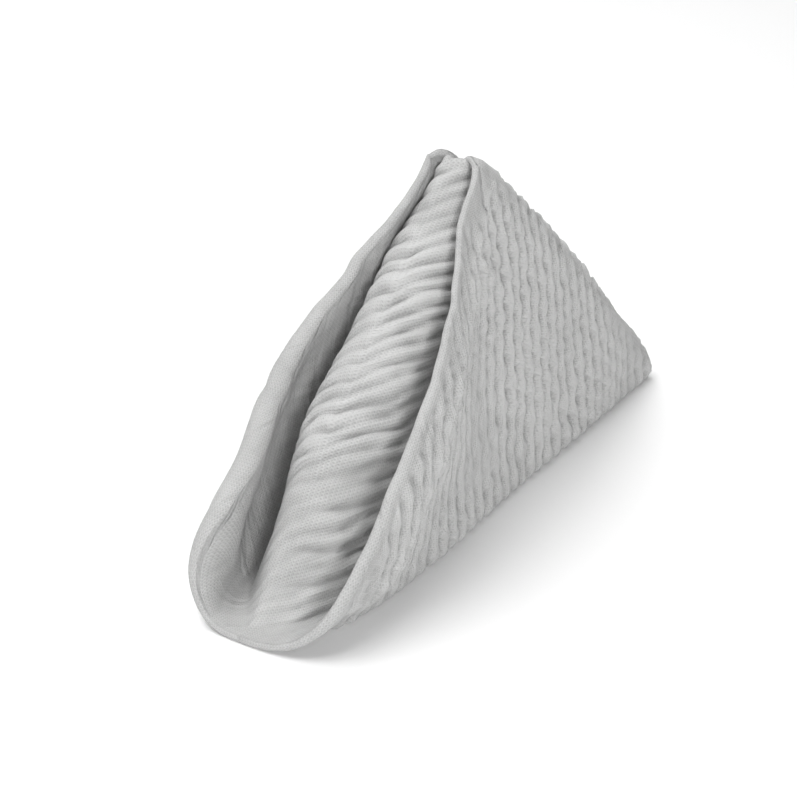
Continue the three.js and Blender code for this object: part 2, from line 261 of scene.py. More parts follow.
class FoldSurface:
    """Mid-surface of the cloth folded double, in slices square to the base crease.

    A point is given by its place along the base crease and by how far up the
    slice it lies, both measured on the flat cloth. Y counts from the lip here.
    """

    PLAN_STEP = 0.25
    PLAN_SPARE = 8.0
    WALK_STEPS = 130
    HALVINGS = 36
    STEEPEST = QUARTER_TURN * 1.1
    STEP = 0.05

    def __init__(self, sizes: FoldSizes) -> None:
        """Works out the base crease and the steepness of the slices.

        Args:
            sizes: the sizes of the fold.
        """
        self.sizes = sizes
        self.plan_along = np.arange(0.0, sizes.base_line + self.PLAN_SPARE, self.PLAN_STEP)
        angle = self.crease_angle(self.plan_along + self.PLAN_STEP / 2.0)
        self.plan_x = np.concatenate([[0.0], np.cumsum(np.sin(angle) * self.PLAN_STEP)[:-1]])
        self.plan_y = np.concatenate([[0.0], np.cumsum(np.cos(angle) * self.PLAN_STEP)[:-1]])
        near_lip = np.linspace(0.01, 30.0, 121)
        beyond = np.linspace(30.5, sizes.base_line + 4.0, 400)
        self.known_along = np.concatenate([near_lip, beyond])
        self.known_steepness = self.solve_steepness(self.known_along)

    def crease_angle(self, along: Array) -> Array:
        """Gives the plan angle of the base crease.

        Args:
            along: places along the crease.

        Returns:
            Angles from +Y, in radians.
        """
        sizes = self.sizes
        fading = np.exp(-np.power(np.maximum(along, 0.0) / sizes.lip_turn, sizes.lip_turn_power))
        return (sizes.lip_angle + sizes.inward) * fading - sizes.inward

    def crease_turn(self, along: Array, up: Array, steep: Array) -> Array:
        """Gives the heading of slices just above the base crease.

        Args:
            along: places along the crease.
            up: places up the slices.
            steep: the heading that each slice turns to.

        Returns:
            Slopes in radians.
        """
        sizes = self.sizes
        radius = sizes.pitch + sizes.crease_soft * np.exp(-along / sizes.crease_fade)
        return np.clip((up - sizes.strip) / radius, 0.0, np.maximum(steep, 0.0))

    def ridge_heading(self, along: Array, up: Array, steep: Array) -> Array:
        """Gives the heading of the inner cloth, which rounds off towards the ridge.

        Args:
            along: places along the crease.
            up: places up the slices.
            steep: the heading below the round top.

        Returns:
            Slopes in radians.
        """
        sizes = self.sizes
        from_apex = np.clip(1.0 - along / sizes.apex_slice, 0.0, 1.0)
        radius = sizes.ridge_radius + sizes.ridge_swell * np.power(from_apex, sizes.ridge_swell_power)
        band = np.minimum(sizes.round_length * radius * ROOT_TWO, sizes.ridge_share * along)
        below = np.clip((along - up) / np.maximum(band, 1e-6), 0.0, 1.0)
        return self.crease_turn(along, up, steep) * np.sin(QUARTER_TURN * below)

    def flap_heading(self, along: Array, up: Array) -> Array:
        """Gives the heading of the flap, which curls in near its roll.

        Args:
            along: places along the crease.
            up: places up the slices.

        Returns:
            Slopes in radians.
        """
        sizes = self.sizes
        slice_part = along / sizes.apex_slice
        closed = math.pi - self.steepness(along)
        rise = smooth(along / sizes.lip_rise)
        opened = np.minimum(sizes.flap_open * np.sin(QUARTER_TURN * rise), closed)
        closing = ramp(slice_part, *sizes.closing)
        steep = opened * (1.0 - closing) + closed * closing
        curl = sizes.flap_curl * (1.0 - np.clip(slice_part, 0.0, 1.0) ** 2) * rise
        return self.crease_turn(along, up, steep) + curl * smooth(1.0 - (along - up) / sizes.curl_band)

    def solve_steepness(self, along: Array) -> Array:
        """Finds how steep the inner cloth stands, so that the halves meet.

        Args:
            along: places along the base crease.

        Returns:
            The steepness at each place, in radians.
        """
        reach = np.interp(along, self.plan_along, self.plan_x) / np.cos(self.crease_angle(along))
        low = np.zeros_like(along)
        high = np.full_like(along, self.STEEPEST)
        for _ in range(self.HALVINGS):
            middle = (low + high) / 2.0
            side, _ = self.walk(
                lambda a, u, steep=middle: self.ridge_heading(a, u, steep[:, None]), along, along)
            short = side > reach
            low = np.where(short, middle, low)
            high = np.where(short, high, middle)
        return (low + high) / 2.0

    def steepness(self, along: Array) -> Array:
        """Steepness of the inner cloth at places along the base crease."""
        return np.interp(along, self.known_along, self.known_steepness)

    def walk(self, heading: Heading, along: Array, up: Array) -> tuple[Array, Array]:
        """Walks up slices and measures how far that leads.

        Args:
            heading: function of along and up that gives the slope in radians.
            along: places along the base crease, one for each walk.
            up: length of each walk.

        Returns:
            How far each walk goes sideways, and how high.
        """
        parts = (np.arange(self.WALK_STEPS) + 0.5) / self.WALK_STEPS
        slope = heading(along[:, None], up[:, None] * parts[None, :])
        return np.cos(slope).mean(axis=1) * up, np.sin(slope).mean(axis=1) * up

    def place(self, along: Array, side: Array, height: Array) -> Array:
        """Turns slice measures into points in space.

        Args:
            along: places along the crease.
            side: distances from it, square to it in plan.
            height: heights above the mid-surface at the table.

        Returns:
            An array of points.
        """
        angle = self.crease_angle(along)
        x = np.interp(along, self.plan_along, self.plan_x) + side * np.cos(angle)
        y = np.interp(along, self.plan_along, self.plan_y) - side * np.sin(angle)
        return np.stack([x, y, self.sizes.mid_height + height], axis=-1)

    def points(self, part: Part, along: Array, up: Array) -> Array:
        """Gives points of one triangle of the right half.

        Args:
            part: FLAP, RIDGE, or TUCKED_FLAP for the flat-sided inner layer.
            along: places along the base crease, as a flat array.
            up: places up the slices, as a flat array.

        Returns:
            An array of points.
        """
        if part is Part.FLAP:
            side, height = self.walk(self.flap_heading, along, up)
            return self.place(along, side, height)
        steep = self.steepness(along)[:, None]
        if part is Part.TUCKED_FLAP:
            side, height = self.walk(lambda a, u: self.crease_turn(a, u, steep), along, up)
            return self.place(along, -side, height)
        side, height = self.walk(lambda a, u: self.ridge_heading(a, u, steep), along, up)
        length = np.clip(along / self.sizes.apex_slice, 0.0, 1.0)
        share = up / np.maximum(along, 1e-6)
        sizes = self.sizes
        lift = sizes.ridge_lift * np.sin(math.pi * length) * np.power(share, sizes.ridge_lift_power)
        lift = lift + sizes.apex_lift * smooth(length) * np.power(share, sizes.apex_lift_power)
        return self.place(along, -side, height + lift)


@dataclass
class Layer:
    """A grid of points of the mid-surface with their normals.

    Along and up say where each point is on the flat cloth, and swell is how much
    further from the mid-surface than elsewhere the two sheets lie.
    """

    at: Array
    normal: Array
    along: Array
    up: Array
    swell: Array

    def shifted(self, distance: float) -> "Layer":
        """Returns the same grid, moved along its normals."""
        return Layer(self.at + self.normal * distance, self.normal, self.along, self.up, self.swell)

    def flipped(self) -> "Layer":
        """Returns the same grid with its normals turned round."""
        return Layer(self.at, -self.normal, self.along, self.up, self.swell)

    def part_at(self, *index: Array | int | slice) -> "Layer":
        """Returns the points of the grid at an index."""
        return Layer(*(getattr(self, name)[index] for name in LAYER_FIELDS))

    @staticmethod
    def joined(layers: list["Layer"]) -> "Layer":
        """Joins grids one after the other, along their first axis."""
        return Layer(*(
            np.concatenate([getattr(layer, name) for layer in layers]) for name in LAYER_FIELDS))


LAYER_FIELDS: tuple[str, ...] = ("at", "normal", "along", "up", "swell")


@dataclass
class Crinkle:
    """Relief of crinkled double gauze, in millimetres on the flat cloth.

    Narrow wavy ridges run along one thread direction, and between two ridges the
    gauze sinks into a row of small pits, one under the other.
    """

    column_pitch: float = 4.7
    pit_pitch: float = 5.2
    ridge_sharpness: float = 1.8
    pit_sharpness: float = 1.3
    ridge_share: float = 0.75
    pit_share: float = 1.1
    sink: float = 0.1
    lift: float = 0.22
    height_scale: float = 2.3
    wander: Ripple = Ripple(1.3, 24.0, 24.0, (7.3, 2.1))
    jitter: Ripple = Ripple(0.8, 10.0, 8.0, (0.0, 5.0))
    row_wander: Ripple = Ripple(0.9, 40.0, 26.0, (1.7, 0.0))
    row_jitter: float = 0.35
    column_step: float = 0.37
    jitter_length: float = 17.0
    wobble: float = 0.55
    mean_strength: float = 0.85
    strength: Ripple = Ripple(0.75, 17.0, 21.0, (3.0, 0.0))
    least_and_most: tuple[float, float] = (0.25, 1.4)
    fine_grain: Ripple = Ripple(0.08, 3.1, 5.0)
    grain: Ripple = Ripple(0.12, 5.3, 6.1)
    seed: int = 11
    slow: SoftNoise = field(init=False)
    quick: SoftNoise = field(init=False)

    def __post_init__(self) -> None:
        """Draws the two noises."""
        self.slow = SoftNoise(self.seed)
        self.quick = SoftNoise(self.seed + 1)

    def height(self, across: Array, down: Array) -> Array:
        """Height of the crinkle at places of the flat cloth.

        Args:
            across: place across the columns.
            down: place along the columns.

        Returns:
            Heights in millimetres.
        """
        drift = self.wander.at(self.slow, across, down) + self.jitter.at(self.quick, across, down)
        place = (across + drift) / self.column_pitch
        column = np.floor(place + 0.5)
        row = down / self.pit_pitch + self.row_wander.at(self.slow, across, down)
        row = row + self.row_jitter * self.quick(column * self.column_step, down / self.jitter_length)
        sway = self.wobble / self.column_pitch * np.sin(math.pi * row + math.pi * column)
        between = np.abs(np.sin(math.pi * (place + sway)))
        ridge = np.power(between, self.ridge_sharpness)
        pit = np.power(0.5 + 0.5 * np.cos(2.0 * math.pi * row), self.pit_sharpness) * (1.0 - between ** 2)
        strength = self.mean_strength + self.strength.at(self.slow, across, down)
        strength = np.clip(strength, *self.least_and_most)
        grain = self.fine_grain.at(self.quick, across, down) + self.grain.at(self.slow, across, down)
        raised = (self.ridge_share * ridge - self.pit_share * pit - self.sink) * strength
        return self.height_scale * (raised + grain + self.lift)


@dataclass(frozen=True)
class Fold:
    """One soft trough or ridge of the cloth.

    Its middle line starts at (across, down) on the flat inner sheet and runs in
    the direction of turn, in degrees from down towards across. Sizes are in
    millimetres on the flat cloth, and a height below zero is a trough.
    """

    across: float
    down: float
    turn: float
    length: float
    width: float
    height: float
    bow: float = 0.0

    def relief(self, across: Array, down: Array) -> Array:
        """Gives the height that this fold adds.

        Args:
            across: places across the flat inner sheet.
            down: places down it.

        Returns:
            Heights in millimetres.
        """
        turn = math.radians(self.turn)
        onward = (down - self.down) * math.cos(turn) + (across - self.across) * math.sin(turn)
        aside = (across - self.across) * math.cos(turn) - (down - self.down) * math.sin(turn)
        place = np.clip(onward / self.length, 0.0, 1.0)
        aside = aside - self.bow * 4.0 * place * (1.0 - place)
        ends = smooth(place / 0.35) * smooth((1.0 - place) / 0.35)
        return self.height * ends * np.exp(-(aside / self.width) ** 2)


# The inner sheet, flat: across below zero and down above zero is the middle ridge,
# where the wrinkles run over it from the left pocket down into the right one.
RIDGE_FOLDS: tuple[Fold, ...] = (
    Fold(across=-15.0, down=6.0, turn=8.0, length=36.0, width=2.1, height=-1.2, bow=1.0),
    Fold(across=-23.0, down=12.0, turn=9.0, length=44.0, width=2.2, height=-1.4, bow=1.4),
    Fold(across=-31.0, down=26.0, turn=6.0, length=36.0, width=2.1, height=-1.4, bow=1.6),
    Fold(across=-40.0, down=26.0, turn=9.0, length=46.0, width=2.5, height=-1.0, bow=1.5),
    Fold(across=-47.0, down=44.0, turn=4.0, length=34.0, width=2.1, height=-1.2, bow=1.3),
    Fold(across=-55.0, down=42.0, turn=8.0, length=42.0, width=2.3, height=-0.9, bow=1.2),
    Fold(across=-63.0, down=60.0, turn=6.0, length=32.0, width=2.0, height=-0.8, bow=1.0),
    Fold(across=-72.0, down=62.0, turn=9.0, length=34.0, width=2.2, height=-0.6, bow=0.9),
    Fold(across=-81.0, down=78.0, turn=6.0, length=26.0, width=1.9, height=-0.5, bow=0.6),
    Fold(across=-92.0, down=86.0, turn=7.0, length=22.0, width=1.8, height=-0.4, bow=0.4),
)


@dataclass(frozen=True)
class Bow:
    """A place where the roll of an open flap hangs in or out of its pocket."""

    along: float
    length: float
    depth: float
    height: float

    def lean(self, along: Array, depth: Array) -> Array:
        """Gives how far this bow moves the cloth, into the pocket above 0."""
        return self.height * np.exp(-((along - self.along) / self.length) ** 2 - (depth / self.depth) ** 2)


ROLL_BOWS: dict[Side, tuple[Bow, ...]] = {
    Side.RIGHT: (
        Bow(along=46.0, length=20.0, depth=20.0, height=-5.0),
        Bow(along=82.0, length=14.0, depth=20.0, height=-2.5),
    ),
    Side.LEFT: (
        Bow(along=22.0, length=13.0, depth=18.0, height=3.4),
        Bow(along=52.0, length=13.0, depth=16.0, height=-2.6),
    ),
}
ROLL_THICKENING: dict[Side, float] = {Side.RIGHT: 0.9, Side.LEFT: 1.5}
ROLL_RIBS: dict[Side, Ripple] = {
    Side.RIGHT: Ripple(0.35, 4.5, 26.0, (3.0, 7.0)),
    Side.LEFT: Ripple(0.7, 4.5, 26.0, (3.0, -7.0)),
}
RIB_FADE = 17.0


@dataclass
class ClothMesh:
    """Corners and faces of the sheet while it is being put together."""

    corners: list[Array] = field(default_factory=list)
    flat: list[Array] = field(default_factory=list)
    relief: list[Array] = field(default_factory=list)
    faces: list[Array] = field(default_factory=list)
    leaders: list[tuple[Array, Array]] = field(default_factory=list)
    count: int = 0

    def add(self, points: Array, flat: Array, relief: Array) -> Array:
        """Adds corners.

        Args:
            points: array of points, of any grid shape.
            flat: places on the flat cloth, of the same grid shape.
            relief: height of the crinkle, of the same grid shape.

        Returns:
            The numbers of the new corners, in the grid shape.
        """
        shape = points.shape[:-1]
        size = int(np.prod(shape))
        self.corners.append(points.reshape(size, 3))
        self.flat.append(flat.reshape(size, 2))
        self.relief.append(relief.reshape(size))
        ids = np.arange(self.count, self.count + size).reshape(shape)
        self.count += size
        return ids

    def cover(self, ids: Array) -> None:
        """Covers a grid of corners with triangles.

        Args:
            ids: corner numbers; -1 is outside a slanting edge of the grid.
        """
        a, b, c, d = (part.ravel() for part in (ids[:-1, :-1], ids[1:, :-1], ids[1:, 1:], ids[:-1, 1:]))
        for trio in (
            np.stack([a, b, c], axis=1),
            np.stack([a, c, d], axis=1),
            np.stack([a, b, np.where(c < 0, d, -1)], axis=1),
        ):
            self.faces.append(trio[(trio >= 0).all(axis=1)])

    def follow(self, ids: Array, leaders: Array) -> None:
        """Lets hidden corners give way to fewer ones.

        Args:
            ids: corners that may go.
            leaders: the corner that stands for each of them.
        """
        self.leaders.append((ids.ravel(), leaders.ravel()))

    def closed(self) -> tuple[Array, Array, Array, Array]:
        """Puts the sheet together.

        Returns:
            Points, faces, places on the flat cloth and heights of the crinkle.
        """
        leader = np.arange(self.count)
        for ids, to in self.leaders:
            leader[ids] = to
        faces = leader[np.concatenate(self.faces)]
        a, b, c = faces.T
        faces = faces[(a != b) & (b != c) & (c != a)]
        used = np.unique(faces)
        number = np.full(self.count, -1)
        number[used] = np.arange(used.size)
        points = np.concatenate(self.corners)[used]
        return points, number[faces], np.concatenate(self.flat)[used], np.concatenate(self.relief)[used]


@dataclass
class HalfIds:
    """Corner numbers of one half, for each of the four faces of the sheets."""

    flap: list[Array]
    ridge: list[Array]
    flap_tail: list[Array] = field(default_factory=list)
    ridge_tail: list[Array] = field(default_factory=list)
    lip_rim: Array | None = None


@dataclass
class PyramidCloth:
    """The folded cloth, one closed sheet of crinkled double gauze."""

    sizes: FoldSizes = field(default_factory=FoldSizes)
    crinkle: Crinkle = field(default_factory=Crinkle)
    pocket_crinkle: Crinkle = field(default_factory=lambda: Crinkle(
        column_pitch=4.1, pit_pitch=15.0, ridge_sharpness=0.65, pit_share=0.35, lift=-0.2, height_scale=2.0,
        wander=Ripple(2.2, 30.0, 30.0, (7.3, 2.1)), wobble=0.3, seed=23))
    seed: int = 31
    crease_steps: int = 6
    crease_height: float = 3.5
    crease_power: float = 1.15
    open_steps: int = 126
    tail_rows: int = 36
    flap_turns: int = 9
    ridge_turns: int = 6
    roll_steps: int = 6
    hidden_stride: int = 6
    pocket_stride: int = 2
    column_fan: float = 0.22
    left_roll: float = 2.2
    left_roll_loss: float = 0.6
    seam_fade: float = 3.0
    flap_inside_puffs: float = 0.35
    low_ridge_puffs: float = 0.6
    left_puffs: float = 0.6
    back_calm: float = 0.5
    back_fade: float = 5.0
    apex_calm: float = 0.6
    slack: Ripple = Ripple(0.45, 15.0, 24.0)
    small_slack: Ripple = Ripple(0.25, 7.0, 16.0, (9.0, 0.0))
    border: Ripple = Ripple(1.0, 6.0, 7.0)
    border_level: float = 0.7
    border_height: float = 0.6
    border_width: float = 1.7
    band_puffs: float = 0.32
    band_width: tuple[float, float] = (9.0, 7.0)
    heel_centre: tuple[float, float] = (209.2, 4.5)
    heel_radius: float = 4.5
    heel_kept: float = 0.45
    left_apex_pull: float = 0.33
    name: str = "crinkled_cloth"
    mesh: ClothMesh = field(default_factory=ClothMesh)

    def __post_init__(self) -> None:
        """Lays out the grid lines and the surface."""
        sizes = self.sizes
        share = np.arange(self.crease_steps) / self.crease_steps
        near = self.crease_height * np.power(share, self.crease_power)
        far = np.linspace(self.crease_height, sizes.apex_slice, self.open_steps + 1)
        self.lines = np.concatenate([near, far])
        self.half_count = self.lines.size - 1
        self.along = np.concatenate([self.lines, sizes.base_line - self.lines[-2::-1]])
        self.surface = FoldSurface(sizes)
        self.slow = SoftNoise(self.seed)

    def flat_places(self, side: Side, part: Part, along: Array, up: Array, inner: bool) -> Array:
        """Gives places on the flat cloth, which hold the columns of the crinkle.

        Args:
            side: which half.
            part: which of its triangles.
            along: places along the base crease.
            up: places up the slices.
            inner: whether the sheet is the one that faces the pockets.

        Returns:
            Pairs of the places across and down the crinkle columns.
        """
        if part in (Part.TUCKED_FLAP, Part.TUCKED_RIDGE):
            along, up = self.sizes.base_line - up, self.sizes.base_line - along
        sign = 1.0 if part in (Part.FLAP, Part.TUCKED_FLAP) else -1.0
        pair = (sign * up, along) if side is Side.RIGHT else (-along, -sign * up)
        return np.stack(pair if inner else pair[::-1], axis=-1)

    def wrinkles(self, side: Side, part: Part, along: Array, up: Array) -> Array:
        """Gives the height of the large wrinkles of the mid-surface.

        Args:
            side: which half.
            part: which of its triangles.
            along: places along the base crease.
            up: places up the slices.

        Returns:
            Heights along the normal, none near the base crease.
        """
        shown = {Part.TUCKED_FLAP: Part.RIDGE, Part.TUCKED_RIDGE: Part.RIDGE}.get(part, part)
        across, down = np.moveaxis(self.flat_places(side, shown, along, up, True), -1, 0)
        height = self.slack.at(self.slow, across, down) + self.small_slack.at(self.slow, across, down)
        if shown is Part.RIDGE:
            for fold in RIDGE_FOLDS:
                height = height + fold.relief(across, down)
        towards_apex = ramp(along / self.sizes.apex_slice, 0.6, 1.0)
        height = height * (1.0 - self.apex_calm * towards_apex)
        if part is Part.FLAP:
            height = height + self.drape(side, along, up)
        return height * ramp(up, 4.0, 13.0)

    def drape(self, side: Side, along: Array, up: Array) -> Array:
        """Gives how far a flap hangs into its pocket near its roll.

        Args:
            side: which half.
            along: places along the base crease.
            up: places up the slices.

        Returns:
            Distances along the normal.
        """
        depth = (along - up) / ROOT_TWO
        lean = ROLL_THICKENING[side] * self.roll_swell(side, along, up)
        ribs = ROLL_RIBS[side].at(self.slow, along, depth)
        lean = lean + ribs * np.exp(-(depth / RIB_FADE) ** 2) * ramp(along, 10.0, 24.0)
        for bow in ROLL_BOWS[side]:
            lean = lean + bow.lean(along, depth)
        return lean

    def layer(self, side: Side, part: Part, along: Array, up: Array) -> Layer:
        """Samples one triangle of the mid-surface, wrinkled, on a grid.

        Args:
            side: which half, for its wrinkles; the points are those of the right half.
            part: which triangle.
            along: places along the base crease, of any grid shape.
            up: places up the slices, of the same shape.

        Returns:
            The grid of points with normals that point into the pockets.
        """
        shape = along.shape
        surface_part = Part.RIDGE if part is Part.TUCKED_RIDGE else part
        a = along.ravel()
        u = up.ravel()
        step = FoldSurface.STEP

        def at(da: float, du: float) -> Array:
            """Point of the surface a little further along or up."""
            return self.surface.points(surface_part, np.maximum(a + da, 0.0), np.maximum(u + du, 0.0))

        def wrinkle(da: float, du: float) -> Array:
            """Height of the wrinkles a little further along or up."""
            return self.wrinkles(side, part, a + da, u + du)

        points = at(0.0, 0.0)
        rise = unit(at(0.0, step) - at(0.0, -step))
        onward = unit(at(step, 0.0) - at(-step, 0.0))
        turned = 1.0 if part is Part.FLAP else -1.0
        ridge_line = (surface_part is Part.RIDGE) & (np.abs(a - u) < 1e-6)
        normal = unit(turned * np.cross(rise, onward))
        lip = (a + u) < 1e-6
        normal[lip] = (0.0, 0.0, 1.0)
        normal[ridge_line, 0] = 0.0
        normal = unit(normal)
        height = wrinkle(0.0, 0.0)
        slope_up = (wrinkle(0.0, step) - wrinkle(0.0, -step)) / (2.0 * step)
        slope_along = (wrinkle(step, 0.0) - wrinkle(-step, 0.0)) / (2.0 * step)
        points = points + normal * height[:, None]
        rise = rise + normal * slope_up[:, None]
        onward = onward + normal * slope_along[:, None]
        bent = unit(turned * np.cross(rise, onward))
        bent[lip] = (0.0, 0.0, 1.0)
        points[ridge_line, 0] = 0.0
        bent[ridge_line, 0] = 0.0
        bent = unit(bent)
        swell = self.roll_swell(side, along, up) if part is Part.FLAP else np.zeros_like(along)
        return Layer(points.reshape(*shape, 3), bent.reshape(*shape, 3), along, up, swell)

    def roll_swell(self, side: Side, along: Array, up: Array) -> Array:
        """Gives how far the sheets stand apart in the roll of an open flap.

        Args:
            side: which half.
            along: places along the base crease.
            up: places up the slices.

        Returns:
            Distances, on both sides of the mid-surface.
        """
        sizes = self.sizes
        begun = ramp(along, *sizes.swell_start)
        ended = ramp(along / sizes.apex_slice, *sizes.swell_end)
        depth = (along - up) / ROOT_TWO
        round_left = self.left_roll if side is Side.LEFT else 0.0
        swell = sizes.roll_swell * (1.0 - ended) + round_left * (1.0 - self.left_roll_loss * ended)
        return swell * begun * smooth(up / 20.0) * np.exp(-(depth / sizes.roll_fade) ** 2)

    def uneven(self, points: Array) -> Array:
        """Rounds the heels, draws in the left apex and adds the solid's own waves.

        Args:
            points: corners of the sheet, with Y from the lip.

        Returns:
            The moved corners.
        """
        x, y, z = np.moveaxis(points, -1, 0)
        from_y = y - self.heel_centre[0]
        from_z = z - self.heel_centre[1]
        reach = np.hypot(from_y, from_z)
        corner = (from_y > 0.0) & (np.arctan2(from_z, from_y) < math.pi / 4.0) & (reach > self.heel_radius)
        kept = self.heel_radius + (reach - self.heel_radius) * self.heel_kept
        share = np.where(corner, kept / np.maximum(reach, 1e-6), 1.0)
        y = self.heel_centre[0] + from_y * share
        z = self.heel_centre[1] + from_z * share
        x = x * (1.0 - np.where(x < 0.0, self.left_apex_pull, 0.0) * ramp(z, 88.0, 108.0))
        rise = z / self.sizes.leg
        # The same leans and waves as in the solid.
        return np.stack([
            x + 1.4 * rise * np.sin(y / 44.0 + 0.4) + 0.4 * np.sin(y / 26.0 + z / 17.0),
            y + 1.0 * rise * np.sin(x / 16.0 + z / 34.0),
            z * (1.0 + 0.008 * np.sin(y / 23.0 + x / 30.0)),
        ], axis=-1)

    def puffs(self, part: Part, face: int, layer: Layer, flat: Array) -> Array:
        """Gives the height of the crinkle on one face of a triangle.

        Args:
            part: which triangle.
            face: which of its four faces, POCKET_FACE to OUTER_FACE.
            layer: the grid of the triangle.
            flat: its places on the flat cloth.

        Returns:
            Heights, outwards.
        """
        across, down = np.moveaxis(flat, -1, 0)
        depth = (layer.along - layer.up) / ROOT_TWO
        to_back = (self.sizes.base_line - layer.along - layer.up) / ROOT_TWO
        from_crease = ramp(layer.up, 0.5, 4.5)
        inside = smooth(to_back / self.seam_fade) * from_crease
        if face == OUTER_FACE and part in (Part.FLAP, Part.TUCKED_FLAP):
            up = layer.up if part is Part.FLAP else self.sizes.base_line - layer.along
            raised = self.face_puffs(across, down, depth, up)
            raised = raised * (1.0 - self.back_calm * np.exp(-(to_back / self.back_fade) ** 2))
            if float(np.mean(across)) < 0.0:
                raised = raised * self.left_puffs
            return raised * from_crease if part is Part.FLAP else raised
        if face == POCKET_FACE and part is Part.FLAP:
            raised = self.flap_inside_puffs * self.pocket_crinkle.height(down, across)
            return raised * smooth(depth / 5.0) * inside
        if face == POCKET_FACE and part is Part.RIDGE:
            grown = self.low_ridge_puffs + (1.0 - self.low_ridge_puffs) * smooth(layer.up / 22.0)
            return self.pocket_crinkle.height(across, down) * inside * grown
        return np.zeros_like(across)

    def face_puffs(self, across: Array, down: Array, depth: Array, up: Array) -> Array:
        """Gives the height of the crinkle on the outer faces, which fan out towards the crease.

        Args:
            across: place on the flat cloth across the columns.
            down: place along them.
            depth: distance from the roll of the flap.
            up: distance from the base crease.

        Returns:
            Heights, small on the smooth band beside the roll.
        """
        middle = math.copysign(self.sizes.apex_slice, float(np.mean(across)))
        spread = 1.0 + self.column_fan * (1.0 - np.abs(down) / self.sizes.apex_slice)
        height = self.crinkle.height(middle + (across - middle) / spread, down)
        narrow, wider = self.band_width
        band = narrow + wider * ramp(up, 70.0, 10.0)
        past_band = ramp(depth - band, -2.0, 2.0)
        beyond = smooth(depth / 3.0) * (self.band_puffs + (1.0 - self.band_puffs) * past_band)
        border = self.border_height * np.exp(-((depth - band) / self.border_width) ** 2)
        border = border * (self.border_level + self.border.at(self.slow, across, down))
        return height * beyond + border * ramp(up, 10.0, 30.0)

    def stride(self, part: Part, face: int) -> int:
        """Gives the grid steps between the corners of a face.

        Args:
            part: which triangle.
            face: which of its four faces.

        Returns:
            A number of steps, more where the face can't be seen.
        """
        strides = {
            (Part.FLAP, OUTER_FACE): 1,
            (Part.RIDGE, POCKET_FACE): 1,
            (Part.FLAP, POCKET_FACE): self.pocket_stride,
            (Part.TUCKED_FLAP, OUTER_FACE): self.pocket_stride,
        }
        return strides.get((part, face), self.hidden_stride)

    def add_faces(self, side: Side, part: Part, layer: Layer) -> list[Array]:
        """Adds the corners of the four faces over one triangle.

        Args:
            side: which half.
            part: which triangle.
            layer: its grid on the mid-surface.

        Returns:
            A grid of corner numbers for each face.
        """
        grids = []
        for face, offset in enumerate(self.sizes.offsets):
            flat = self.flat_places(side, part, layer.along, layer.up, face in INNER_SHEET)
            puff = self.puffs(part, face, layer, flat)
            outwards = 1.0 if offset > 0 else -1.0
            points = layer.at + layer.normal * (offset + outwards * (puff + layer.swell))[..., None]
            grids.append(self.mesh.add(self.mirrored(side, points), flat, puff))
        return grids

    @staticmethod
    def mirrored(side: Side, points: Array) -> Array:
        """Mirrors points of the right half where the side is the left one."""
        return points * np.array([float(side.value), 1.0, 1.0])

    def triangle_grid(self) -> tuple[Array, Array, Array]:
        """Lays the grid lines over a triangle of the cloth.

        Returns:
            Which crossings lie in the triangle, and the along and up of each.
        """
        i, j = np.meshgrid(np.arange(self.along.size), np.arange(self.lines.size), indexing="ij")
        inside = j <= np.minimum(i, self.along.size - 1 - i)
        return inside, self.along[i], self.lines[j]

    def add_triangle(self, side: Side, part: Part) -> tuple[Layer, list[Array]]:
        """Adds one of the two triangles of a half that stand on the table.

        Args:
            side: which half.
            part: FLAP or RIDGE.

        Returns:
            Its mid-surface and the corner numbers of its four faces, -1 outside.
        """
        inside, along, up = self.triangle_grid()
        found = self.layer(side, part, along[inside], up[inside])
        ids = self.add_faces(side, part, found)
        at, normal, swell = (spread(inside, values, 0.0) for values in (found.at, found.normal, found.swell))
        return Layer(at, normal, along, up, swell), [spread(inside, face_ids, -1) for face_ids in ids]

    def back_line(self) -> tuple[Array, Array]:
        """Grid places of the fold at the back, from the apex down to the heel."""
        up_index = np.arange(self.half_count, self.crease_steps - 1, -1)
        return self.along.size - 1 - up_index, up_index

    def tail_layer(self, side: Side, part: Part) -> Layer:
        """Mid-surface of a tucked triangle, from the fold at the back to its tip.

        Args:
            side: which half.
            part: TUCKED_RIDGE or TUCKED_FLAP.

        Returns:
            Rows of points; the first row lies under the fold at the back.
        """
        sizes = self.sizes
        i, j = self.back_line()
        depth = (self.along[i] - self.lines[j]) / ROOT_TWO
        share = np.arange(self.tail_rows + 1)[:, None] / self.tail_rows
        run = sizes.leg + (sizes.tuck - sizes.leg) * share
        start = 0.0 if part is Part.TUCKED_RIDGE else sizes.inner_roll
        depths = start + (depth / depth[-1])[None, :] * (depth[-1] - start) * (1.0 - share)
        run = np.broadcast_to(run, depths.shape)
        layers = 2.0 if part is Part.TUCKED_RIDGE else 4.0
        found = self.layer(side, part, (run + depths) / ROOT_TWO, (run - depths) / ROOT_TWO)
        moved = found.shifted(-layers * sizes.pitch)
        return moved.flipped() if part is Part.TUCKED_RIDGE else moved

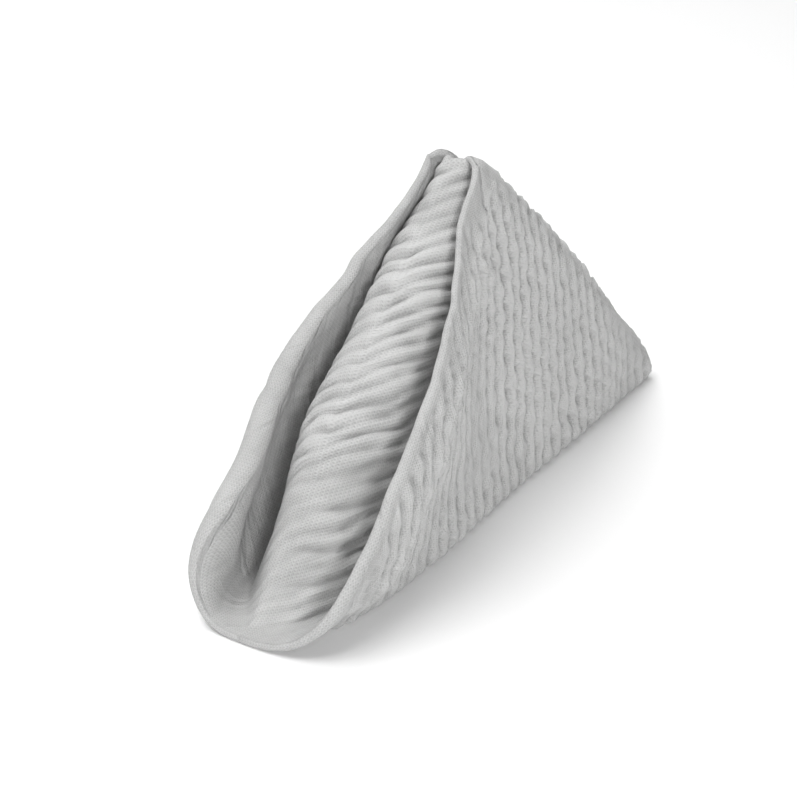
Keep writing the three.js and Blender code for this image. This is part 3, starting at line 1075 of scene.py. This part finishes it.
    def back_turn(self, start: Layer, end: Layer, radius: float, turns: int, inwards: bool) -> Layer:
        """Turns the cloth round the fold at the back.

        Args:
            start: the row that meets the fold.
            end: the row that leaves it, on the other side.
            radius: radius of the turn on the mid-surface.
            turns: steps of the turn.
            inwards: whether the normals point into the turn.

        Returns:
            The rows between the two, without them.
        """
        edge = np.gradient(start.at, axis=0)
        out = np.cross(edge, start.normal)
        out[np.abs(start.at[:, 0]) < 1e-9, 0] = 0.0
        out = unit(out)
        out = np.where((out[:, 1] + out[:, 2] < 0.0)[:, None], -out, out)
        centre = (start.at + end.at) / 2.0
        half = (start.at - end.at) / 2.0
        angle = (math.pi * np.arange(1, turns) / turns)[:, None, None]
        at = centre + half * np.cos(angle) + out * radius * np.sin(angle)
        sign = -1.0 if inwards else 1.0
        normal = sign * unit(unit(half) * np.cos(angle) + out * np.sin(angle))
        onward = radius * angle[..., 0] / ROOT_TWO
        along = start.along - onward
        up = start.up - onward
        return Layer(at, normal, along, up, np.zeros(at.shape[:-1]))

    def add_half(self, side: Side, other: HalfIds | None) -> HalfIds:
        """Adds one half of the folded cloth.

        Args:
            side: which half.
            other: the half that is there already and shares its middle line.

        Returns:
            The corner numbers of this half.
        """
        flap, flap_ids = self.add_triangle(side, Part.FLAP)
        ridge, ridge_ids = self.add_triangle(side, Part.RIDGE)
        middle = np.arange(self.half_count + 1)
        for face in FACES:
            if other is not None:
                flap_ids[face][0, 0] = other.flap[face][0, 0]
                ridge_ids[face][middle, middle] = other.ridge[face][middle, middle]
            ridge_ids[face][:, 0] = flap_ids[face][:, 0]
        half = HalfIds(flap_ids, ridge_ids)
        pitch = self.sizes.pitch
        flap_tail = self.add_tail(
            side, Part.TUCKED_FLAP, flap, flap_ids, half.flap_tail, 3.0 * pitch, self.flap_turns)
        self.add_tail(
            side, Part.TUCKED_RIDGE, ridge, ridge_ids, half.ridge_tail, pitch, self.ridge_turns)
        if other is not None:
            for rows, known in zip(half.ridge_tail, other.ridge_tail):
                rows[:, 0] = known[:, 0]
                rows[-1, :] = known[-1, 0]
        for grid in (*half.flap, *half.ridge, *half.flap_tail, *half.ridge_tail):
            self.mesh.cover(grid)
        self.add_roll(side, half, other, flap, flap_tail)
        self.add_hem(half)
        self.thin_hidden(half)
        return half

    def add_tail(
        self, side: Side, part: Part, front: Layer, front_ids: list[Array],
        tails: list[Array], radius: float, turns: int,
    ) -> Layer:
        """Adds the turn at the back and the tucked triangle behind it.

        Args:
            side: which half.
            part: TUCKED_FLAP or TUCKED_RIDGE.
            front: the mid-surface that the turn starts from.
            front_ids: its corner numbers.
            tails: list that takes the new corner numbers, a grid for each face.
            radius: radius of the turn on the mid-surface.
            turns: steps of the turn.

        Returns:
            The mid-surface of the turn and the tucked triangle, in rows.
        """
        i, j = self.back_line()
        start = front.part_at(i, j)
        tail = self.tail_layer(side, part)
        arc = self.back_turn(start, tail.part_at(0), radius, turns, part is Part.TUCKED_FLAP)
        arc_ids = self.add_faces(side, part, arc)
        tail_ids = self.add_faces(side, part, tail)
        for face in FACES:
            rows = np.concatenate([front_ids[face][i, j][None, :], arc_ids[face], tail_ids[face]])
            rows[-1, :] = rows[-1, 0]
            tails.append(rows)
        first = start.part_at(None)
        return Layer.joined([first, arc, tail])

    def add_roll(
        self, side: Side, half: HalfIds, other: HalfIds | None, flap: Layer, flap_tail: Layer,
    ) -> None:
        """Adds the roll along the first fold, which joins the two sheets.

        Args:
            side: which half.
            half: its corner numbers.
            other: the half that is there already and shares the lip.
            flap: mid-surface of the flap.
            flap_tail: mid-surface of what follows it round the back.
        """
        middle = np.arange(self.half_count + 1)
        inside = np.maximum(middle - 1, 0)
        at = np.concatenate([flap.at[middle, middle], flap_tail.at[1:, 0]])
        normal = np.concatenate([flap.normal[middle, middle], flap_tail.normal[1:, 0]])
        next_in = np.concatenate([flap.at[middle, inside], flap_tail.at[1:, 1]])
        next_in[0] = flap.at[1, 0]
        out = unit(np.cross(np.gradient(at, axis=0), normal))
        away = np.einsum("ij,ij->i", out, at - next_in) < 0.0
        out[away] = -out[away]
        out[-1] = out[-2]
        out[0] = (0.0, -1.0, 0.0)
        chains = [
            np.concatenate([half.flap[face][middle, middle], half.flap_tail[face][1:, 0]])
            for face in FACES]
        angle = (math.pi * np.arange(1, self.roll_steps) / self.roll_steps)[None, :, None]
        swell = np.concatenate([flap.swell[middle, middle], flap_tail.swell[1:, 0]])
        radius = (self.sizes.offsets[0] + swell)[:, None, None]
        rim = at[:, None] + radius * (normal[:, None] * np.cos(angle) + out[:, None] * np.sin(angle))
        along = np.concatenate([self.along[middle], flap_tail.along[1:, 0]])
        up = np.concatenate([self.lines[middle], flap_tail.up[1:, 0]])
        flat = self.flat_places(side, Part.FLAP, along, up, False)
        shift = (radius * (math.pi - angle)) / ROOT_TWO * np.array([-1.0, 1.0])
        flat = flat[:, None, :] + shift * (1.0 if side is Side.RIGHT else -1.0)
        between = self.mesh.add(self.mirrored(side, rim), flat, np.zeros(rim.shape[:2]))
        if other is not None and other.lip_rim is not None:
            between[0] = other.lip_rim
        half.lip_rim = between[0]
        rims = np.concatenate([chains[0][:, None], between, chains[3][:, None]], axis=1)
        self.mesh.cover(rims)
        self.mesh.cover(np.stack([chains[1], chains[2]], axis=1))
        end = rims[-1]
        cap = [[end[step], end[step + 1], chains[2][-1]] for step in range(self.roll_steps)]
        cap.append([end[0], chains[2][-1], chains[1][-1]])
        self.mesh.faces.append(np.array(cap))

    def add_hem(self, half: HalfIds) -> None:
        """Adds the cut edge of both sheets, from tip to tip round the heel.

        Args:
            half: the corner numbers of one half.
        """
        heel_up = np.arange(self.crease_steps, -1, -1)
        last = self.along.size - 1
        crease_up = heel_up[-2::-1]
        chains = [
            np.concatenate([
                half.flap_tail[face][:0:-1, -1],
                half.flap[face][last - heel_up, heel_up],
                half.ridge[face][last - crease_up, crease_up],
                half.ridge_tail[face][1:, -1],
            ])
            for face in FACES]
        self.mesh.cover(np.stack(chains[:2], axis=1))
        self.mesh.cover(np.stack(chains[2:], axis=1))

    def thin_hidden(self, half: HalfIds) -> None:
        """Gives the faces that are seen less, or lie against each other, a coarser grid.

        Args:
            half: the corner numbers of one half.
        """
        last = self.along.size - 1
        i, j = np.meshgrid(np.arange(last + 1), np.arange(self.half_count + 1), indexing="ij")
        inside = j <= np.minimum(i, last - i)
        for part, partner, grids in (
            (Part.FLAP, Part.RIDGE, half.flap), (Part.RIDGE, Part.FLAP, half.ridge),
        ):
            for face, ids in enumerate(grids):
                stride = self.stride(part, face)
                if stride == 1:
                    continue
                lead_i = np.round(i / stride).astype(int) * stride
                lead_j = np.round(j / stride).astype(int) * stride
                moved = inside
                if self.stride(partner, face) == 1:
                    lead_i = np.clip(lead_i, stride, last - stride)
                    lead_j = np.ceil(j / stride).astype(int) * stride
                    moved = inside & (j > 0)
                lead_j = np.minimum(lead_j, np.minimum(lead_i, last - lead_i))
                self.mesh.follow(ids[moved], ids[lead_i[moved], lead_j[moved]])
        for part, tails, turns in (
            (Part.TUCKED_FLAP, half.flap_tail, self.flap_turns),
            (Part.TUCKED_RIDGE, half.ridge_tail, self.ridge_turns),
        ):
            for face, rows in enumerate(tails):
                stride = self.stride(part, face)
                rows_kept = part is Part.TUCKED_FLAP and face == OUTER_FACE
                first = turns if (part is Part.TUCKED_RIDGE and face == POCKET_FACE) else 1
                row, column = np.meshgrid(
                    np.arange(first, rows.shape[0]), np.arange(rows.shape[1]), indexing="ij")
                lead_row = row
                if not rows_kept:
                    lead_row = np.minimum(np.ceil(row / stride).astype(int) * stride, rows.shape[0] - 1)
                lead_column = np.round(column / stride).astype(int) * stride
                self.mesh.follow(rows[row, column], rows[lead_row, lead_column])

    def build(self) -> bpy.types.Object:
        """Builds the sheet as one closed mesh.

        Returns:
            The object, at the origin, with its place in its mesh.
        """
        right = self.add_half(Side.RIGHT, None)
        self.add_half(Side.LEFT, right)
        points, faces, flat, relief = self.mesh.closed()
        points = self.uneven(points)
        lowest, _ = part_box(CLOTH_NODE)
        points[:, 0] -= (points[:, 0].min() + points[:, 0].max()) / 2.0
        points[:, 1] += lowest[1] / MILLIMETRE + self.sizes.offsets[0]
        points[:, 2] = np.maximum(points[:, 2], 0.0)
        data = bpy.data.meshes.new(self.name)
        data.from_pydata((points * MILLIMETRE).tolist(), [], faces.tolist())
        data.update()
        uv = data.uv_layers.new(name="flat_cloth")
        corner = np.empty(len(data.loops), dtype=np.int32)
        data.loops.foreach_get("vertex_index", corner)
        uv.data.foreach_set("uv", (flat[corner] * MILLIMETRE).ravel())
        # The material paints shade into the crinkle pits and light onto its ridges from this height.
        raised = data.attributes.new("puff_height", "FLOAT", "POINT")
        raised.data.foreach_set("value", relief)
        self.face_outwards(data)
        data.shade_smooth()
        cloth = bpy.data.objects.new(self.name, data)
        bpy.context.scene.collection.objects.link(cloth)
        LOG.info("%s: %d corners, %d triangles", self.name, len(points), len(faces))
        return cloth

    @staticmethod
    def face_outwards(data: bpy.types.Mesh) -> None:
        """Turns the faces of a closed mesh outwards.

        Args:
            data: the mesh.
        """
        work = bmesh.new()
        work.from_mesh(data)
        bmesh.ops.recalc_face_normals(work, faces=work.faces)
        if work.calc_volume(signed=True) < 0.0:
            bmesh.ops.reverse_faces(work, faces=work.faces)
        open_edges = sum(1 for edge in work.edges if not edge.is_manifold)
        LOG.info("edges that are not closed: %d", open_edges)
        work.to_mesh(data)
        work.free()


class NodeTree:
    """Small helper that adds and links the nodes of a tree."""

    def __init__(self, tree: bpy.types.NodeTree) -> None:
        """Empties the tree.

        Args:
            tree: the tree to fill.
        """
        self.tree = tree
        tree.nodes.clear()

    def add(
        self, kind: str, values: dict[str, float] | None = None, **settings: str,
    ) -> bpy.types.Node:
        """Adds a node.

        Args:
            kind: the node's type.
            values: numbers for its inputs, by name.
            **settings: its properties.

        Returns:
            The node.
        """
        node = self.tree.nodes.new(kind)
        for name, value in settings.items():
            setattr(node, name, value)
        for name, value in (values or {}).items():
            node.inputs[name].default_value = value
        return node

    def link(self, start: Socket, end: Socket) -> None:
        """Links an output to an input."""
        self.tree.links.new(start, end)

    def noise(self, vector: Socket, **values: float) -> Socket:
        """Adds a noise texture.

        Args:
            vector: where it is read.
            **values: its inputs, by name.

        Returns:
            Its value.
        """
        node = self.add("ShaderNodeTexNoise", values)
        self.link(vector, node.inputs["Vector"])
        return node.outputs[0]

    def bump(
        self, height: Socket, strength: float, distance: float, normal: Socket | None = None,
    ) -> Socket:
        """Adds a bump.

        Args:
            height: the relief.
            strength: how much of it shows.
            distance: its height in metres.
            normal: the bump that lies under it.

        Returns:
            The bent normal.
        """
        node = self.add("ShaderNodeBump", {"Strength": strength, "Distance": distance})
        self.link(height, node.inputs["Height"])
        if normal is not None:
            self.link(normal, node.inputs["Normal"])
        return node.outputs[0]

    def remap(self, value: Socket, start: tuple[float, float], end: tuple[float, float]) -> Socket:
        """Maps a range of values to another one, and holds them in it.

        Args:
            value: what is mapped.
            start: its lowest and highest value.
            end: what these become.

        Returns:
            The mapped value.
        """
        node = self.add("ShaderNodeMapRange", {
            "From Min": start[0], "From Max": start[1], "To Min": end[0], "To Max": end[1]})
        self.link(value, node.inputs["Value"])
        return node.outputs[0]

    def math(self, operation: str, *inputs: float | Socket) -> Socket:
        """Adds a Math node.

        Args:
            operation: what it works out.
            *inputs: numbers, or outputs to link.

        Returns:
            Its output.
        """
        node = self.add("ShaderNodeMath", operation=operation)
        for socket, value in zip(node.inputs, inputs):
            if isinstance(value, Socket):
                self.link(value, socket)
            else:
                socket.default_value = value
        return node.outputs[0]


@dataclass(frozen=True)
class GauzeFinish:
    """Light grey double gauze: an open plain weave, matt and a little fuzzy, with shade painted into its
    crinkle pits and light painted onto its ridges.
    """

    name: str = "light_grey_gauze"
    colour: tuple[float, float, float, float] = (0.55, 0.55, 0.547, 1.0)
    shade_colour: tuple[float, float, float, float] = (0.37, 0.37, 0.368, 1.0)
    thread_pitch: float = 0.00066
    roughness: float = 0.95
    sheen: float = 0.15
    sheen_roughness: float = 0.5
    weave_relief: float = 0.00022
    slub_relief: float = 0.0003
    crease_relief: float = 0.0016
    crease_across: float = 230.0
    crease_down: float = 34.0
    # Painted shade and light: the colour darkens down to pit_height in the crinkle pits and lightens up to
    # ridge_height on its ridges.
    pit_height: float = -0.9
    ridge_height: float = 1.3
    painted_relief_shade: float = 1.2
    weave_tint: float = 0.36
    cloudy_tint: float = 0.55

    def build(self) -> bpy.types.Material:
        """Builds the material.

        Returns:
            A procedural material that reads the cloth's own flat map and paints shade and light from the
            height of the crinkle.
        """
        material = bpy.data.materials.new(self.name)
        material.use_nodes = True
        nodes = NodeTree(material.node_tree)
        output = nodes.add("ShaderNodeOutputMaterial")
        shader = nodes.add("ShaderNodeBsdfPrincipled", {
            "Roughness": self.roughness, "Sheen Weight": self.sheen,
            "Sheen Roughness": self.sheen_roughness, "Specular IOR Level": 0.15})
        nodes.link(shader.outputs[0], output.inputs["Surface"])
        flat = nodes.add("ShaderNodeUVMap", uv_map="flat_cloth").outputs[0]
        parts = nodes.add("ShaderNodeSeparateXYZ")
        nodes.link(flat, parts.inputs[0])
        weave = self.weave(nodes, flat, parts)
        tint = nodes.noise(flat, Scale=90.0, Detail=4.0, Roughness=0.6)
        mixed = nodes.math("ADD", nodes.math("MULTIPLY", weave, self.weave_tint),
                           nodes.math("MULTIPLY", tint, self.cloudy_tint))
        share = nodes.remap(mixed, (-0.05, 0.55), (0.0, 1.0))
        raised = nodes.add("ShaderNodeAttribute", attribute_name="puff_height")
        height = nodes.remap(raised.outputs["Fac"], (self.pit_height, self.ridge_height), (-0.5, 0.5))
        colour = nodes.add("ShaderNodeMix", data_type="RGBA")
        colour.inputs[6].default_value = self.shade_colour
        colour.inputs[7].default_value = self.colour
        # Painted shade in the crinkle pits and painted light on its ridges, added to the thread pattern and
        # the cloudy tone of the cloth.
        tone_and_painted_shade = nodes.math("ADD", share, nodes.math("MULTIPLY", height, self.painted_relief_shade))
        nodes.link(tone_and_painted_shade, colour.inputs[0])
        nodes.link(colour.outputs[2], shader.inputs["Base Color"])
        fine = nodes.bump(weave, 0.6, self.weave_relief)
        slub = nodes.noise(flat, Scale=420.0, Detail=3.0, Roughness=0.6)
        broad = nodes.bump(slub, 0.6, self.slub_relief, fine)
        stretched = nodes.add("ShaderNodeCombineXYZ")
        nodes.link(nodes.math("MULTIPLY", parts.outputs[0], self.crease_across), stretched.inputs[0])
        nodes.link(nodes.math("MULTIPLY", parts.outputs[1], self.crease_down), stretched.inputs[1])
        creases = nodes.noise(stretched.outputs[0], Scale=1.0, Detail=2.0, Roughness=0.5, Distortion=0.4)
        nodes.link(nodes.bump(creases, 0.9, self.crease_relief, broad), shader.inputs["Normal"])
        return material

    def weave(self, nodes: NodeTree, flat: Socket, parts: bpy.types.Node) -> Socket:
        """Adds the relief of the plain weave, with threads that wander a little.

        Args:
            nodes: the tree.
            flat: place on the flat cloth.
            parts: node that gives its two numbers.

        Returns:
            Heights, from about -0.5 to 0.85.
        """
        wander = nodes.noise(flat, Scale=260.0, Detail=1.0)
        sway = nodes.math("MULTIPLY", nodes.math("SUBTRACT", wander, 0.5), 2.2)
        turns = 2.0 * math.pi / self.thread_pitch
        across, down = (
            nodes.math("ADD", nodes.math("MULTIPLY", parts.outputs[axis], turns), sway) for axis in (0, 1))
        threads = nodes.math("MAXIMUM", nodes.math("SINE", across), nodes.math("SINE", down))
        halves = [nodes.math("SINE", nodes.math("MULTIPLY", angle, 0.5)) for angle in (across, down)]
        over = nodes.math("MULTIPLY", *halves)
        return nodes.math("ADD", nodes.math("MULTIPLY", threads, 0.5), nodes.math("MULTIPLY", over, 0.35))


@dataclass(frozen=True)
class Lamp:
    """A square soft lamp: its place and side in metres, and its power in watts."""

    name: str
    place: tuple[float, float, float]
    size: float
    power: float

    def add(self, aim: Vector) -> None:
        """Hangs the lamp so that it points at a place.

        Args:
            aim: the place, in metres.
        """
        data = bpy.data.lights.new(self.name, "AREA")
        data.size = self.size
        data.energy = self.power
        lamp = bpy.data.objects.new(self.name, data)
        bpy.context.scene.collection.objects.link(lamp)
        lamp.location = self.place
        lamp.rotation_euler = (Vector(self.place) - aim).to_track_quat("Z", "Y").to_euler()


@dataclass(frozen=True)
class Studio:
    """Plain pale floor, soft light and the camera of the photograph."""

    azimuth: float = math.radians(33.62)
    elevation: float = math.radians(26.73)
    distance: float = 0.675
    aim: tuple[float, float, float] = (-0.01564, -0.00849, 0.03029)
    focal_pixels: float = 2150.0
    sensor_width: float = 36.0
    floor_size: float = 6.0
    floor_colour: tuple[float, float, float, float] = (0.935, 0.935, 0.935, 1.0)
    world_colour: tuple[float, float, float, float] = (1.0, 1.0, 1.0, 1.0)
    world_strength: float = 0.15
    lamp_aim: tuple[float, float, float] = (0.0, 0.0, 0.04)
    lamps: tuple[Lamp, ...] = (
        Lamp("top_lamp", (-0.25, -0.35, 1.3), size=1.0, power=14.0),
        Lamp("left_lamp", (-0.9, -0.5, 0.7), size=0.6, power=1.0),
        Lamp("front_lamp", (0.62, -1.05, 0.5), size=0.4, power=2.0),
        Lamp("right_lamp", (0.86, -0.80, 0.5), size=0.3, power=6.5),
        Lamp("back_lamp", (-0.5, 0.6, 1.0), size=0.8, power=6.0),
    )

    def add_camera(self) -> None:
        """Adds the camera and makes it the scene's own."""
        data = bpy.data.cameras.new("photo_camera")
        data.sensor_fit = "HORIZONTAL"
        data.sensor_width = self.sensor_width
        data.lens = self.focal_pixels / PHOTO_WIDTH * self.sensor_width
        data.clip_start = 0.01
        camera = bpy.data.objects.new("photo_camera", data)
        bpy.context.scene.collection.objects.link(camera)
        toward = Vector((
            math.sin(self.azimuth) * math.cos(self.elevation),
            -math.cos(self.azimuth) * math.cos(self.elevation),
            math.sin(self.elevation)))
        camera.location = Vector(self.aim) + toward * self.distance
        camera.rotation_euler = toward.to_track_quat("Z", "Y").to_euler()
        bpy.context.scene.camera = camera

    def add_floor(self) -> None:
        """Adds the plain floor."""
        half = self.floor_size / 2.0
        data = bpy.data.meshes.new("floor")
        data.from_pydata([(-half, -half, 0.0), (half, -half, 0.0), (half, half, 0.0), (-half, half, 0.0)],
                         [], [(0, 1, 2, 3)])
        floor = bpy.data.objects.new("floor", data)
        bpy.context.scene.collection.objects.link(floor)
        material = bpy.data.materials.new("pale_floor")
        material.use_nodes = True
        shader = material.node_tree.nodes["Principled BSDF"]
        shader.inputs["Base Color"].default_value = self.floor_colour
        shader.inputs["Roughness"].default_value = 0.9
        data.materials.append(material)

    def build(self) -> None:
        """Sets up the camera, the floor, the lamps and the world."""
        self.add_camera()
        self.add_floor()
        for lamp in self.lamps:
            lamp.add(Vector(self.lamp_aim))
        world = bpy.data.worlds.new("studio")
        bpy.context.scene.world = world
        world.use_nodes = True
        sky = world.node_tree.nodes["Background"]
        sky.inputs["Color"].default_value = self.world_colour
        sky.inputs["Strength"].default_value = self.world_strength
        bpy.context.scene.view_settings.view_transform = "Standard"


def main() -> None:
    """Builds the cloth and its studio."""
    logging.basicConfig(level=logging.INFO, format="%(name)s: %(message)s")
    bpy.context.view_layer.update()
    Studio().build()
    gauze = GauzeFinish().build()
    pyramid = PyramidCloth()
    cloth = pyramid.build()
    cloth.data.materials.append(gauze)
    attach(cloth, "root")
    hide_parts(CLOTH_NODE)


if __name__ == "__main__":
    main()
